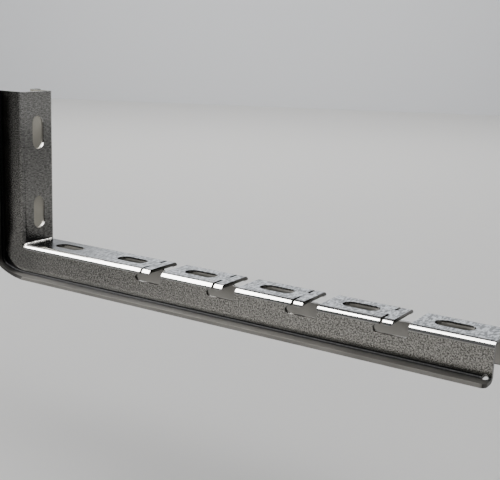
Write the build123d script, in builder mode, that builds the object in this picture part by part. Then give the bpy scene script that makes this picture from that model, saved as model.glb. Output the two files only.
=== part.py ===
"""Cable tray bracket: one pressed and folded sheet of galvanised steel.

Millimetres, +Z up. The origin is midway between the two wall slots, on the face of the leg.
The arm reaches out along +X, and Y = 0 is the plane of symmetry.
"""
import os
from math import hypot, sqrt

from build123d import *

# Sheet and its bends
sheet_thickness = 2.0
bend_radius = 3.0
corner_fold_radius = 1.0

# Section: a channel that is open to the outside of the L, with a flange along each web. The flanges
# narrow round the heel, over the run to either side of its middle
channel_width = 27.0
flange_width = 8.5
heel_flange_width = 4.5
heel_flange_run = 18.0
arm_depth = 20.0
leg_depth = 20.0

# Overall form, measured from the corner between the leg's face and the arm's top
arm_length = 300.0
leg_height = 94.0
heel_radius = 40.0
heel_blend_radius = 8.0
flange_corner_radius = 3.0

# Slots for screws
slot_length = 20.5
slot_width = 9.5
wall_slot_pitch = 50.0
wall_slot_rise = 19.0
arm_slot_pitch = 50.0
first_arm_slot = 26.0
arm_end_margin = 20.0

# Catches for the wires of the tray, one after each slot from the second to the last but one
first_catch_slot = 1
catch_offset = 17.0
tongue_length = 5.2
tongue_neck_width = 8.0
tongue_corner_radius = 1.5
slit_width = 1.6
wire_entry = 8.7
wire_seat_height = 4.4
wire_seat_reach = 3.2
seat_corner_radius = 2.0

# Round relief on each bend line near the arm's end
relief_diameter = 3.0
relief_margin = 3.0

# Cutters run this far past the faces that they open, and selected edges lie this close
cut_margin = 5.0
tolerance = 0.01

# Sizes that follow
arm_top = -(wall_slot_rise + wall_slot_pitch / 2)
arm_bottom = arm_top - arm_depth
leg_top = arm_top + leg_height
inner_bend_radius = bend_radius - sheet_thickness
half_width = channel_width / 2
half_overall = half_width + flange_width
arm_slot_count = int((arm_length - first_arm_slot - arm_end_margin) // arm_slot_pitch) + 1
arm_slot_middle = first_arm_slot + arm_slot_pitch * (arm_slot_count - 1) / 2
slit_end = tongue_neck_width / 2 + slit_width / 2
relief_x = arm_length - relief_margin
catch_slots = range(first_catch_slot, arm_slot_count - 1)
catch_positions = [first_arm_slot + arm_slot_pitch * slot + catch_offset for slot in catch_slots]


def side_outline(inset):
    """Side view of the bracket, with its outer contour moved in by the inset."""
    radius = heel_radius - inset
    bottom = arm_bottom + inset
    wall = -leg_depth + inset
    kink_height = bottom + radius - sqrt(radius**2 - wall**2)
    lowest_point = (0, bottom)
    kink = (wall, kink_height)
    with BuildSketch() as outline:
        with BuildLine():
            Polyline(kink, (wall, leg_top), (0, leg_top), (0, arm_top), (arm_length, arm_top))
            Polyline((arm_length, arm_top), (arm_length, bottom), lowest_point)
            RadiusArc(lowest_point, kink, radius)
        make_face()
        corners = outline.vertices()
        fillet(corners.sort_by_distance(Vector(*kink))[0], heel_blend_radius - inset)
        corners = outline.vertices()
        fillet(corners.sort_by_distance(Vector(0, arm_top))[0], corner_fold_radius)
    return outline.sketch_local


def hollow_outline():
    """Side view of what is cut out behind the sheet, open to the outside of the L."""
    inner_corner = (-sheet_thickness, arm_top - sheet_thickness)
    with BuildSketch() as outline:
        with BuildLine():
            Polyline(
                (-sheet_thickness, leg_top + cut_margin),
                inner_corner,
                (arm_length + cut_margin, arm_top - sheet_thickness),
                (arm_length + cut_margin, arm_bottom - cut_margin),
                (-leg_depth - cut_margin, arm_bottom - cut_margin),
                (-leg_depth - cut_margin, leg_top + cut_margin),
                close=True,
            )
        make_face()
        corner = outline.vertices().sort_by_distance(Vector(*inner_corner))[0]
        fillet(corner, corner_fold_radius + sheet_thickness)
    return outline.sketch_local


def heel_cut(side):
    """View along the diagonal of the L of what is cut off the flange on one side of the heel."""
    edge = side * half_overall
    beyond = side * (half_overall + cut_margin)
    waist = (0, side * (half_width + heel_flange_width))
    with BuildSketch() as cut:
        with BuildLine():
            ThreePointArc((-heel_flange_run, edge), waist, (heel_flange_run, edge))
            Polyline(
                (heel_flange_run, edge),
                (heel_flange_run, beyond),
                (-heel_flange_run, beyond),
                (-heel_flange_run, edge),
            )
        make_face()
    return cut.sketch_local


def depth_of(point):
    """Depth of a point below the inner surfaces of the L: the leg's face and the arm's top."""
    if point.X > 0:
        return arm_top - point.Z
    if point.Z > arm_top:
        return -point.X
    return hypot(point.X, point.Z - arm_top)


def on_inner_surface(shape):
    """True for what lies on the leg's face, the arm's top or the fold between them."""
    return abs(depth_of(shape.center())) < corner_fold_radius


def on_open_end(shape):
    """True for what lies on the arm's end or on the leg's top."""
    middle = shape.center()
    return abs(middle.X - arm_length) < tolerance or abs(middle.Z - leg_top) < tolerance


def bend_root(edges, y):
    """Edges at +y and -y where the webs meet their flanges."""
    at_y = edges.filter_by(lambda edge: abs(abs(edge.center().Y) - y) < tolerance)
    below_bend = at_y.filter_by(lambda edge: depth_of(edge.center()) > bend_radius + tolerance)
    return below_bend.filter_by(on_open_end, reverse=True)


def inner_bends(edges):
    """Edges inside the hollow where the webs meet the leg's plate, the fold and the arm's top."""
    at_web = edges.filter_by(lambda edge: abs(abs(edge.center().Y) - half_width + sheet_thickness) < tolerance)
    reach = corner_fold_radius + sheet_thickness
    return at_web.filter_by(lambda edge: depth_of(edge.center()) < reach).filter_by(on_open_end, reverse=True)


def catch_side_view():
    """Cut in the webs for one catch: slit, wire seat and entry, around the tongue's bend."""
    slit_start = -slit_width / 2
    tongue_start = slit_width / 2
    tongue_end = tongue_start + tongue_length
    entry_end = tongue_end + wire_entry
    seat_top = -bend_radius
    seat_bottom = seat_top - wire_seat_height
    seat_round = wire_seat_height / 2
    seat_start = slit_start - wire_seat_reach + seat_round
    with BuildSketch() as cut:
        with Locations((seat_start, seat_top - seat_round)):
            Circle(seat_round)
        with Locations((seat_start, seat_bottom)):
            Rectangle(entry_end - seat_start, wire_seat_height, align=Align.MIN)
        foot = cut.vertices().sort_by_distance(Vector(entry_end, seat_bottom))[0]
        fillet(foot, seat_corner_radius)
        with Locations((slit_start, seat_top - seat_round)):
            Rectangle(entry_end - slit_start, seat_round + bend_radius + cut_margin, align=Align.MIN)
        with BuildSketch(mode=Mode.SUBTRACT) as tongue:
            with Locations((tongue_start, seat_top)):
                Rectangle(tongue_length, bend_radius + cut_margin, align=Align.MIN)
            lower_corners = tongue.vertices().group_by(Axis.Y)[0]
            fillet(lower_corners, tongue_corner_radius)
    return cut.sketch_local


with BuildPart() as bracket:
    # Block with its long edges rounded, hollowed from the outside of the L to one sheet
    with BuildSketch(Plane.XZ):
        add(side_outline(0))
    extrude(amount=half_width, both=True)
    side_edges = bracket.faces().filter_by(Plane.XZ).edges()
    fillet(side_edges.filter_by(on_inner_surface), bend_radius)
    with BuildSketch(Plane.XZ):
        add(hollow_outline())
    extrude(amount=half_width - sheet_thickness, both=True, mode=Mode.SUBTRACT)
    fillet(inner_bends(bracket.edges()), inner_bend_radius)

    # One flange along the outer contour of the front web, then its mirror image
    with BuildSketch(Plane.XZ.offset(half_width - sheet_thickness)):
        add(side_outline(0))
        add(side_outline(sheet_thickness), mode=Mode.SUBTRACT)
    extrude(amount=flange_width + sheet_thickness)
    mirror(about=Plane.XZ)
    fillet(bend_root(bracket.edges(), half_width - sheet_thickness), bend_radius)
    fillet(bend_root(bracket.edges(), half_width), inner_bend_radius)

    # Flanges narrowed round the heel, cut along the diagonal of the L
    with BuildSketch(Plane((0, 0, arm_top), x_dir=(1, 0, -1), z_dir=(-1, 0, -1))):
        for side in (-1, 1):
            add(heel_cut(side))
    extrude(amount=arm_depth + leg_depth, mode=Mode.SUBTRACT)

    # Round outer corners of the flanges at the arm's end and the leg's top
    tips = bracket.edges().filter_by(lambda edge: abs(abs(edge.center().Y) - half_overall) < tolerance)
    end_edges = tips.filter_by(on_open_end)
    fillet(end_edges.filter_by(Axis.Z) + end_edges.filter_by(Axis.X), flange_corner_radius)

    # Slots for the wall screws
    with BuildSketch(Plane.YZ):
        with GridLocations(1, wall_slot_pitch, 1, 2):
            SlotOverall(slot_length, slot_width, rotation=90)
    extrude(amount=-sheet_thickness, mode=Mode.SUBTRACT)

    # Slots along the arm
    with BuildSketch(Plane.XY.offset(arm_top)):
        with Locations((arm_slot_middle, 0)):
            with GridLocations(arm_slot_pitch, 1, arm_slot_count, 1):
                SlotOverall(slot_length, slot_width)
    extrude(amount=-sheet_thickness, mode=Mode.SUBTRACT)

    # Catches: the entries across the arm's top, with the round inner ends of the slits
    with BuildSketch(Plane.XY.offset(arm_top)):
        for x in catch_positions:
            with Locations((x + slit_width / 2 + tongue_length, 0)):
                Rectangle(wire_entry, channel_width, align=(Align.MIN, Align.CENTER))
            with Locations((x, slit_end), (x, -slit_end)):
                Circle(slit_width / 2)
    extrude(amount=-sheet_thickness, mode=Mode.SUBTRACT)

    # Catches: the cuts in the bends and webs on both sides
    for side in (-1, 1):
        with BuildSketch(Plane.XZ.offset(side * slit_end)):
            with Locations(*[(x, arm_top) for x in catch_positions]):
                add(catch_side_view())
        extrude(amount=side * (half_overall - slit_end), mode=Mode.SUBTRACT)

    # Reliefs on the flange roots near the arm's end
    for side in (-1, 1):
        root = Vector(relief_x, side * half_width, arm_bottom + sheet_thickness)
        with BuildSketch(Plane(root, x_dir=(1, 0, 0), z_dir=(0, side, 1))):
            Circle(relief_diameter / 2)
        extrude(amount=relief_diameter, both=True, mode=Mode.SUBTRACT)

bracket.part.label = "bracket"
os.makedirs("parts", exist_ok=True)
export_step(bracket.part, "parts/bracket.step")
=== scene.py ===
"""Cable tray bracket in galvanised steel: material, floor, backdrop, lights and camera.

Metres and degrees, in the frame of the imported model. Azimuths run clockwise from +Y.
"""
from collections import namedtuple
from math import cos, radians, sin

import bpy
from mathutils import Matrix, Vector


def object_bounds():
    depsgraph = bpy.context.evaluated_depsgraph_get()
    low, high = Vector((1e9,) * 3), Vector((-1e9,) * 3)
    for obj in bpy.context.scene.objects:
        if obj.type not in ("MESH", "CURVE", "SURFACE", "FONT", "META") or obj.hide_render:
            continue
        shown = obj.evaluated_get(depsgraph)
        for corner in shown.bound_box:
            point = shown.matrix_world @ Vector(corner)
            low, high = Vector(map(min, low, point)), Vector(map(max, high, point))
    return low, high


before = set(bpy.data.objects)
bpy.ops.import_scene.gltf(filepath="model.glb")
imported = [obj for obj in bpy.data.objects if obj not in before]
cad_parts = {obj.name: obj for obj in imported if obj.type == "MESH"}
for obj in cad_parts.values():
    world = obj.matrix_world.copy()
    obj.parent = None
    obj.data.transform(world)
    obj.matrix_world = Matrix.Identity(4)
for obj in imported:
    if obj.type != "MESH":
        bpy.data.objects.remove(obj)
cad_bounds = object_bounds()
bracket_bottom = cad_bounds[0][2]
flange_end = cad_bounds[1][1]

# Sizes of the bracket, as in the part's source
arm_depth = 0.020
half_crown = 0.0135
bend_radius = 0.003
arm_top = bracket_bottom + arm_depth

# Camera: yaw from +Y, pitch downwards, roll, and the focal length in pixels of the photograph.
# The offset leads from the camera to the fold of the L, along its right, down and forward axes
camera_yaw = 32.219
camera_pitch = 12.591
camera_roll = -2.038
focal_pixels = 928.0
image_width = 500
sensor_width = 36.0
camera_offset = Vector((-0.133523, 0.000561, 0.58966))
nearest_seen = 0.01
farthest_seen = 20

# Stage: the floor lies below the bracket, so that light also reaches into its channel
floor_drop = 0.12
floor_half = 6.0
floor_colour = (0.82, 0.81, 0.79, 1)
backdrop_distance = 3.0
backdrop_height = 1.9
backdrop_azimuth = -30
backdrop_colour = (0.80, 0.81, 0.83, 1)
stage_roughness = 0.8

# Light from all around, and the places that the panels of light face
surroundings_colour = (0.95, 0.97, 1.0, 1)
surroundings_strength = 0.25
middle = Vector((0.14, 0, arm_top))
floor_behind = Vector((-0.8, 1.4, -0.18))
backdrop_foot = Vector((-1.5, 2.6, -0.18))

# Patterns in the zinc, as noise. Fineness below 1 draws a pattern out along that axis, as rolling
# does. A colour goes from its darkest to its lightest between the two heights of its pattern
Pattern = namedtuple("Pattern", "fineness scale detail roughness heights")
patterns = {
    "grain": Pattern((1, 0.35, 1), 1250, 2, 0.7, (0.38, 0.66)),
    "spangle": Pattern((1, 0.4, 1), 850, 1, 0.5, (0.42, 0.6)),
    "cloud": Pattern((1, 1, 1), 60, 3, 0.5, (0.3, 0.7)),
}

# Colours of the steel, each with the pattern that it follows. Besides the webs' own tone, the
# spangled top and the smooth channel, they are painted light and shade: darker or lighter copies
# of the steel, laid where shade or highlights fall
Tone = namedtuple("Tone", "pattern darkest lightest")
web_tone = Tone("grain", (0.075, 0.073, 0.066), (0.47, 0.453, 0.42))
# painted shade: a darker copy of the web steel that darkens the webs towards the leg
painted_shade_web_tone = Tone("grain", (0.03, 0.029, 0.027), (0.27, 0.262, 0.245))
# painted shade: a darker copy of the steel for the heel and the foot of the webs
painted_shade_tone = Tone("grain", (0.035, 0.034, 0.032), (0.17, 0.165, 0.155))
# painted shade: a near-black copy of the steel for the top by the fold, the flange root and the
# flange by the leg
painted_deep_shade_tone = Tone("grain", (0.002, 0.002, 0.002), (0.01, 0.01, 0.01))
top_tone = Tone("spangle", (0.09, 0.092, 0.096), (0.47, 0.475, 0.485))
# painted highlight: a lighter, even copy of the steel for the bend along the top
painted_highlight_tone = Tone("cloud", (0.36, 0.355, 0.34), (0.42, 0.415, 0.4))
# painted shade: a darker, evener copy of the steel for the leg's plate
painted_shade_plate_tone = Tone("grain", (0.13, 0.128, 0.122), (0.3, 0.295, 0.282))
# painted light: a paler copy of the steel for the upper part of the plate
painted_light_plate_tone = Tone("grain", (0.32, 0.315, 0.3), (0.62, 0.61, 0.585))
# painted shade: a darker copy of the steel for the lower part of the plate
painted_deep_shade_plate_tone = Tone("grain", (0.05, 0.049, 0.047), (0.17, 0.167, 0.16))
# painted shade: a near-black copy of the steel for the flanges
painted_shade_flange_tone = Tone("cloud", (0.032, 0.031, 0.029), (0.042, 0.041, 0.038))
# painted shade: a dimmed copy of the steel for the flanges' outer edges
painted_shade_edge_tone = Tone("cloud", (0.15, 0.145, 0.134), (0.18, 0.174, 0.16))
channel_tone = Tone("cloud", (0.25, 0.242, 0.224), (0.3, 0.29, 0.27))
# painted shade: a darker copy of the channel steel for the inside of the leg
painted_shade_leg_channel_tone = Tone("cloud", (0.13, 0.124, 0.107), (0.16, 0.153, 0.132))
# painted shade: a dark copy of the steel for the cut faces of notches, slots and ends
painted_shade_cut_tone = Tone("cloud", (0.06, 0.058, 0.054), (0.09, 0.087, 0.08))

# Areas of the sheet that differ from its webs, in the order in which they are laid over them. All
# but the top and the channel carry painted shade or a painted highlight
layers = (
    ("top", top_tone),
    # painted shade on the top, darkest by the fold
    ("painted shade on the top by the fold", painted_deep_shade_tone),
    # painted shade on the webs, growing towards the leg
    ("painted shade on the webs by the leg", painted_shade_web_tone),
    # painted shade on the webs at the heel
    ("heel", painted_shade_tone),
    # painted shade over the whole plate
    ("plate", painted_shade_plate_tone),
    # painted light on the upper part of the plate
    ("painted light on the upper plate", painted_light_plate_tone),
    # painted shade on the lower part of the plate
    ("painted shade on the lower plate", painted_deep_shade_plate_tone),
    # painted highlight on the bend
    ("bend", painted_highlight_tone),
    # painted shade along the foot of the webs, above the flange
    ("painted shade at the foot of the webs", painted_shade_tone),
    # painted shade: the fillet between web and flange is blacked out
    ("painted shade in the flange root", painted_deep_shade_tone),
    # painted shade on the flanges
    ("flange", painted_shade_flange_tone),
    # painted shade on the flange near the leg
    ("painted shade on the flange by the leg", painted_deep_shade_tone),
    # painted shade on the flanges' outer edges
    ("painted shade on the flange edge", painted_shade_edge_tone),
    ("channel", channel_tone),
    # painted shade inside the leg's channel
    ("painted shade in the leg channel", painted_shade_leg_channel_tone),
    # painted shade on the cut faces
    ("painted shade on the cut faces", painted_shade_cut_tone),
)

# Limits of the areas, most of them areas of painted light and shade: where each begins to show,
# and where it shows in full.
# Across the sheet, from its plane of symmetry
flange_across = (half_crown + 0.0018, half_crown + 0.0022)
edge_across = (flange_end - 0.0005, flange_end - 0.0001)
channel_across = (half_crown - 0.0010, half_crown - 0.0014)
bend_across = (half_crown - 0.0033, half_crown - 0.0027)
# In depth, from the leg's face and the arm's top
channel_depths = (0.0008, 0.0012)
bend_depths = (bend_radius + 0.0004, bend_radius - 0.0002)
web_depths = (bend_radius / 2, bend_radius)
# painted shade at the foot of the webs begins and is full at these depths
foot_depths = (arm_depth - 0.0054, arm_depth - 0.0038)
root_depths = (arm_depth - 0.0036, arm_depth - 0.0031)
# Along the arm, from the leg's face
arm_along = (0, 0.002)
plate_along = (-0.003, -0.0005)
# painted shade on the webs and the flange grows towards the leg between these limits
by_leg_along = (0.22, 0.02)
by_fold_along = (0.08, 0.005)
heel_along = (0.022, 0)
dark_flange_along = (0.01, 0.06)
# In height above the arm's top
top_rise = (-0.0006, -0.0003)
leg_rise = (0.0003, 0.0012)
heel_rise = (0.020, -0.006)
upper_plate_rise = (0.059, 0.089)
lower_plate_rise = (0.029, 0.004)
# By how much a face looks along the arm, from 0 to 1
cut_facing = (0.5, 0.7)

# Finish: the roughness of the outside, the share of it that the bend keeps, what matt areas add,
# the share of that which the top has by the fold, and the depth of the grain
outside_roughness = (0.12, 0.19)
bend_share = 0.4
matt_roughness = 0.25
by_fold_share = 0.4
grain_depth = 0.00009


def plan_camera():
    """Place the camera where the photograph was taken from."""
    yaw = radians(camera_yaw)
    pitch = radians(camera_pitch)
    roll = radians(camera_roll)
    forward = Vector((-sin(yaw) * cos(pitch), cos(yaw) * cos(pitch), -sin(pitch)))
    level_right = Vector((cos(yaw), sin(yaw), 0))
    level_down = forward.cross(level_right)
    right = cos(roll) * level_right + sin(roll) * level_down
    down = -sin(roll) * level_right + cos(roll) * level_down
    turn = Matrix((right, -down, -forward)).transposed()
    to_camera = Matrix((right, down, forward))
    place = -(to_camera.transposed() @ camera_offset) + Vector((0, 0, arm_top))
    data = bpy.data.cameras.new("camera")
    data.sensor_fit = "HORIZONTAL"
    data.sensor_width = sensor_width
    data.lens = focal_pixels / image_width * sensor_width
    data.clip_start = nearest_seen
    data.clip_end = farthest_seen
    camera = bpy.data.objects.new("camera", data)
    camera.matrix_world = Matrix.Translation(place) @ turn.to_4x4()
    bpy.context.scene.collection.objects.link(camera)
    bpy.context.scene.camera = camera


def add_stage_plane(name, corners, colour):
    """Plain matt rectangle that isn't part of the object."""
    mesh = bpy.data.meshes.new(name)
    mesh.from_pydata(corners, [], [(0, 1, 2, 3)])
    plane = bpy.data.objects.new(name, mesh)
    bpy.context.scene.collection.objects.link(plane)
    material = bpy.data.materials.new(name)
    material.use_nodes = True
    shader = material.node_tree.nodes["Principled BSDF"]
    shader.inputs["Base Color"].default_value = colour
    shader.inputs["Roughness"].default_value = stage_roughness
    mesh.materials.append(material)


def add_stage():
    """Pale floor and pale backdrop."""
    foot = bracket_bottom - floor_drop
    top = foot + backdrop_height
    floor = [(-floor_half, -floor_half, foot), (floor_half, -floor_half, foot),
             (floor_half, floor_half, foot), (-floor_half, floor_half, foot)]
    add_stage_plane("floor", floor, floor_colour)
    turn = Matrix.Rotation(-radians(backdrop_azimuth), 4, "Z")
    ends = ((-floor_half, foot), (floor_half, foot), (floor_half, top), (-floor_half, top))
    backdrop = [turn @ Vector((x, backdrop_distance, z)) for x, z in ends]
    add_stage_plane("backdrop", backdrop, backdrop_colour)


def add_world():
    """Dim even surroundings."""
    world = bpy.data.worlds.new("studio")
    world.use_nodes = True
    background = world.node_tree.nodes["Background"]
    background.inputs["Color"].default_value = surroundings_colour
    background.inputs["Strength"].default_value = surroundings_strength
    bpy.context.scene.world = world


def add_panel(name, target, azimuth, elevation, distance, size, power, lights_stage,
              colour=(1, 1, 1)):
    """Soft rectangle of light that faces a target. It lights either the stage or the steel."""
    azimuth = radians(azimuth)
    elevation = radians(elevation)
    out = Vector((sin(azimuth) * cos(elevation), cos(azimuth) * cos(elevation), sin(elevation)))
    data = bpy.data.lights.new(name, "AREA")
    data.shape = "RECTANGLE"
    data.size, data.size_y = size
    data.energy = power
    data.color = colour
    light = bpy.data.objects.new(name, data)
    turn = (-out).to_track_quat("-Z", "Y").to_matrix().to_4x4()
    light.matrix_world = Matrix.Translation(target + out * distance) @ turn
    light.visible_camera = False
    light.visible_diffuse = lights_stage
    light.visible_glossy = not lights_stage
    bpy.context.scene.collection.objects.link(light)


def add_panels():
    """Three panels that light the stage, then four that the steel reflects."""
    add_panel("stage_light_front", middle, azimuth=110, elevation=52, distance=1.5,
              size=(0.9, 0.9), power=7, lights_stage=True)
    add_panel("stage_light_back", floor_behind, azimuth=150, elevation=60, distance=1.5,
              size=(1.6, 1.2), power=12, lights_stage=True)
    add_panel("backdrop_light", backdrop_foot, azimuth=150, elevation=45, distance=2.0,
              size=(3.0, 0.6), power=20, lights_stage=True)
    add_panel("softbox_top", middle, azimuth=120, elevation=78, distance=1.0,
              size=(1.2, 1.0), power=60, lights_stage=False)
    add_panel("softbox_left", middle, azimuth=-118, elevation=41, distance=1.2,
              size=(1.3, 1.1), power=110, lights_stage=False)
    add_panel("softbox_fold", middle, azimuth=15, elevation=44, distance=1.2,
              size=(0.5, 0.2), power=5, lights_stage=False)
    add_panel("softbox_back", middle, azimuth=-32, elevation=18, distance=1.5,
              size=(1.6, 0.5), power=1.6, lights_stage=False, colour=(0.88, 0.94, 1))


class NodeKit:
    """Short forms for the nodes of one material."""

    def __init__(self, material):
        self.nodes = material.node_tree.nodes
        self.links = material.node_tree.links

    def fill(self, node, values):
        """Link or set the inputs of a node in their order."""
        for socket, value in zip(node.inputs, values):
            if isinstance(value, bpy.types.NodeSocket):
                self.links.new(value, socket)
            else:
                socket.default_value = value
        return node

    def math(self, operation, *values):
        """Result of an operation on sockets or numbers."""
        node = self.nodes.new("ShaderNodeMath")
        node.operation = operation
        return self.fill(node, values).outputs["Value"]

    def vector(self, operation, *values):
        """Result of an operation on sockets or vectors."""
        node = self.nodes.new("ShaderNodeVectorMath")
        node.operation = operation
        result = "Value" if operation == "LENGTH" else "Vector"
        return self.fill(node, values).outputs[result]

    def split(self, vector):
        """The X, Y and Z of a vector."""
        node = self.nodes.new("ShaderNodeSeparateXYZ")
        self.links.new(vector, node.inputs["Vector"])
        return node.outputs

    def ramp(self, value, start, end, low=0.0, high=1.0):
        """Smooth change from low to high while the value goes from start to end."""
        node = self.nodes.new("ShaderNodeMapRange")
        node.interpolation_type = "SMOOTHSTEP"
        return self.fill(node, (value, start, end, low, high)).outputs["Result"]

    def overlap(self, mask, *others):
        """Where all the masks are."""
        for other in others:
            mask = self.math("MULTIPLY", mask, other)
        return mask

    def union(self, mask, *others):
        """Where any of the masks is."""
        for other in others:
            mask = self.math("MAXIMUM", mask, other)
        return mask

    def noise(self, position, pattern):
        """Height of a pattern."""
        node = self.nodes.new("ShaderNodeTexNoise")
        node.inputs["Scale"].default_value = pattern.scale
        node.inputs["Detail"].default_value = pattern.detail
        node.inputs["Roughness"].default_value = pattern.roughness
        self.links.new(self.vector("MULTIPLY", position, pattern.fineness), node.inputs["Vector"])
        return node.outputs["Fac"]

    def colour(self, tone, heights):
        """Colour of a tone, which follows its pattern."""
        node = self.nodes.new("ShaderNodeValToRGB")
        stops = zip(patterns[tone.pattern].heights, (tone.darkest, tone.lightest))
        for element, (height, colour) in zip(node.color_ramp.elements, stops):
            element.position = height
            element.color = (*colour, 1)
        self.links.new(heights[tone.pattern], node.inputs["Fac"])
        return node.outputs["Color"]

    def blend(self, mask, below, above):
        """Colour that goes from the one below to the one above with the mask."""
        node = self.nodes.new("ShaderNodeMix")
        node.data_type = "RGBA"
        inputs = {socket.identifier: socket for socket in node.inputs}
        self.links.new(mask, inputs["Factor_Float"])
        self.links.new(below, inputs["A_Color"])
        self.links.new(above, inputs["B_Color"])
        return next(socket for socket in node.outputs if socket.identifier == "Result_Color")


def sheet_areas(kit, position, normal):
    """Masks of the areas of the sheet, by name, most of them areas of painted shade or a painted
    highlight.
    """
    x, y, z = kit.split(position)
    across = kit.math("ABSOLUTE", y)
    rise = kit.math("SUBTRACT", z, arm_top)
    # Depth below the leg's face and the arm's top, measured round the fold at the heel
    below = kit.vector("MULTIPLY_ADD", position, (-1, 0, -1), (0, 0, arm_top))
    depth = kit.vector("LENGTH", kit.vector("MAXIMUM", below, (0, 0, 0)))

    arm = kit.ramp(x, *arm_along)
    leg = kit.ramp(rise, *leg_rise)
    by_leg = kit.ramp(x, *by_leg_along)
    web = kit.ramp(depth, *web_depths)
    flange = kit.ramp(across, *flange_across)
    channel = kit.overlap(kit.ramp(depth, *channel_depths), kit.ramp(across, *channel_across))
    top = kit.overlap(arm, kit.ramp(rise, *top_rise))
    plate = kit.overlap(leg, kit.ramp(x, *plate_along))
    facing_along = kit.math("ABSOLUTE", kit.split(normal)["X"])
    return {
        "top": top,
        # painted shade on the top, darkest by the fold; the same area is also made rougher
        "painted shade on the top by the fold": kit.overlap(top, kit.ramp(x, *by_fold_along)),
        # painted shade on the webs, growing towards the leg
        "painted shade on the webs by the leg": kit.overlap(web, by_leg),
        # painted shade on the webs at the heel
        "heel": kit.overlap(web, kit.ramp(x, *heel_along), kit.ramp(rise, *heel_rise)),
        # painted shade over the whole plate
        "plate": plate,
        # painted light on the upper part of the plate
        "painted light on the upper plate": kit.overlap(plate, kit.ramp(rise, *upper_plate_rise)),
        # painted shade on the lower part of the plate
        "painted shade on the lower plate": kit.overlap(plate, kit.ramp(rise, *lower_plate_rise)),
        # painted highlight on the bend; the same area is also less rough and unbumped
        "bend": kit.overlap(arm, kit.ramp(depth, *bend_depths), kit.ramp(across, *bend_across)),
        # painted shade along the foot of the webs
        "painted shade at the foot of the webs": kit.ramp(depth, *foot_depths),
        # painted shade in the fillet between web and flange; the same area is also made rougher
        "painted shade in the flange root": kit.ramp(depth, *root_depths),
        # the flanges, which carry painted shade and are smooth
        "flange": flange,
        # painted shade on the flange near the leg
        "painted shade on the flange by the leg": kit.overlap(flange, by_leg, kit.ramp(x, *dark_flange_along)),
        # painted shade on the flanges' outer edges
        "painted shade on the flange edge": kit.ramp(across, *edge_across),
        "channel": channel,
        # painted shade inside the leg's channel
        "painted shade in the leg channel": kit.overlap(channel, leg),
        # painted shade on the faces that look along the arm
        "painted shade on the cut faces": kit.overlap(arm, kit.ramp(facing_along, *cut_facing)),
    }


def galvanised_steel():
    """Zinc-coated sheet: spangled on the top, grainy on the webs, smooth on the flanges, with
    painted shade and painted highlights laid over areas of it.
    """
    material = bpy.data.materials.new("galvanised_steel")
    material.use_nodes = True
    kit = NodeKit(material)
    shader = kit.nodes["Principled BSDF"]
    coordinates = kit.nodes.new("ShaderNodeTexCoord")
    position = coordinates.outputs["Object"]
    areas = sheet_areas(kit, position, coordinates.outputs["Normal"])
    heights = {name: kit.noise(position, pattern) for name, pattern in patterns.items()}

    colour = kit.colour(web_tone, heights)
    # Painted shade and painted highlights are laid over the web tone, layer by layer
    for name, tone in layers:
        colour = kit.blend(areas[name], colour, kit.colour(tone, heights))
    kit.links.new(colour, shader.inputs["Base Color"])
    shader.inputs["Metallic"].default_value = 1.0

    smooth = kit.union(areas["flange"], areas["channel"])
    matt_top = kit.math("MULTIPLY", areas["painted shade on the top by the fold"], by_fold_share)
    matt = kit.union(smooth, areas["painted shade in the flange root"], matt_top)
    outside = kit.ramp(heights["cloud"], *patterns["cloud"].heights, *outside_roughness)
    polished = kit.math("MULTIPLY", outside, kit.ramp(areas["bend"], 0, 1, 1, bend_share))
    roughness = kit.math("ADD", polished, kit.math("MULTIPLY", matt, matt_roughness))
    kit.links.new(roughness, shader.inputs["Roughness"])

    bump = kit.nodes.new("ShaderNodeBump")
    bump.inputs["Distance"].default_value = grain_depth
    even = kit.union(smooth, areas["bend"], areas["top"])
    kit.links.new(kit.math("SUBTRACT", 1.0, even), bump.inputs["Strength"])
    kit.links.new(heights["grain"], bump.inputs["Height"])
    kit.links.new(bump.outputs["Normal"], shader.inputs["Normal"])
    return material


plan_camera()
add_stage()
add_world()
add_panels()

steel = galvanised_steel()
bracket = bpy.data.objects["bracket"]
for slot in bracket.material_slots:
    slot.material = steel
